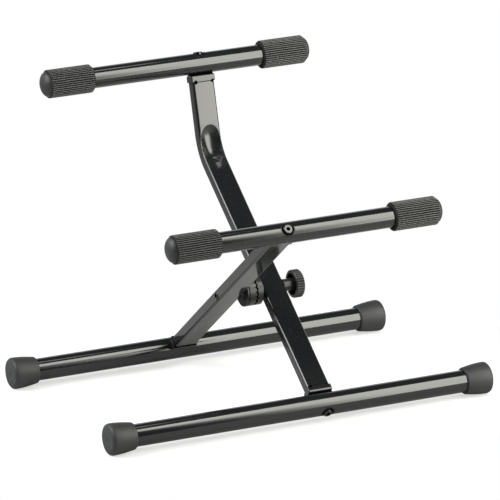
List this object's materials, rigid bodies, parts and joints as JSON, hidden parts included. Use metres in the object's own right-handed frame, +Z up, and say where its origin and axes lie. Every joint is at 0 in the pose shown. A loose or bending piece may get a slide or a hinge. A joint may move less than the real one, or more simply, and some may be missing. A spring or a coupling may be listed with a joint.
{
  "type": "folding amp stand",
  "caption": "X-shaped folding floor stand of black steel tube: two crossing arms on a toothed clutch pivot, foot bars with rubber caps and rest bars with ribbed rubber grips.",
  "frame": {"origin": "on the floor, at the middle of the stand's bounding box", "axes": "+X along the bars, +Y to the back, +Z up"},
  "size_m": [0.462, 0.36, 0.3482],
  "materials": {
    "gloss_black_steel": "gloss black powder coat",
    "black_nylon": "moulded nylon, satin",
    "black_rubber": "matt moulded rubber",
    "black_oxide_screws": "black oxide, worn at the edges",
    "blackened_steel": "satin black coat on cast steel",
    "knob_plastic": "moulded plastic, satin",
    "zinc_steel": "zinc plate, satin"
  },
  "bodies": {
    "long_frame": {"long_arm": "gloss_black_steel", "long_arm_foot_saddle": "black_nylon", "long_arm_top_saddle": "black_nylon", "front_foot_bar": "gloss_black_steel", "front_foot_cap_left": "black_rubber", "front_foot_cap_right": "black_rubber", "rear_rest_bar": "gloss_black_steel", "rear_rest_grip_left": "black_rubber", "rear_rest_grip_right": "black_rubber", "long_frame_screws": "black_oxide_screws", "long_frame_inserts": "zinc_steel", "long_arm_disc": "blackened_steel", "long_arm_bush": "zinc_steel", "release_spring": "zinc_steel"},
    "pivot_pin": {"pivot_bolt": "black_oxide_screws"},
    "short_frame": {"short_arm": "gloss_black_steel", "short_arm_foot_saddle": "black_nylon", "short_arm_top_saddle": "black_nylon", "rear_foot_bar": "gloss_black_steel", "rear_foot_cap_left": "black_rubber", "rear_foot_cap_right": "black_rubber", "front_rest_bar": "gloss_black_steel", "front_rest_grip_left": "black_rubber", "front_rest_grip_right": "black_rubber", "short_frame_screws": "black_oxide_screws", "short_frame_inserts": "zinc_steel", "short_arm_disc": "blackened_steel", "short_arm_bush": "zinc_steel"},
    "knob": {"knob": "knob_plastic", "knob_hub": "blackened_steel"}
  },
  "joints": [
    {"name": "clutch_close", "type": "slide", "parent": "long_frame", "child": "pivot_pin", "axis": [1, 0, 0], "range_m": [0, 0.002], "deforming": ["release_spring"]},
    {"name": "fold", "type": "hinge", "parent": "pivot_pin", "child": "short_frame", "pos_m": [0, -0.0153, 0.11684], "axis": [-1, 0, 0], "range_deg": [-54, 90]},
    {"name": "knob_turn", "type": "hinge", "parent": "long_frame", "child": "knob", "pos_m": [0, -0.0153, 0.11684], "axis": [1, 0, 0], "range_deg": [0, 580]}
  ],
  "couplings": [
    {"joint": "knob_turn", "follows": "clutch_close", "rad_per_m": 5026.5}
  ]
}
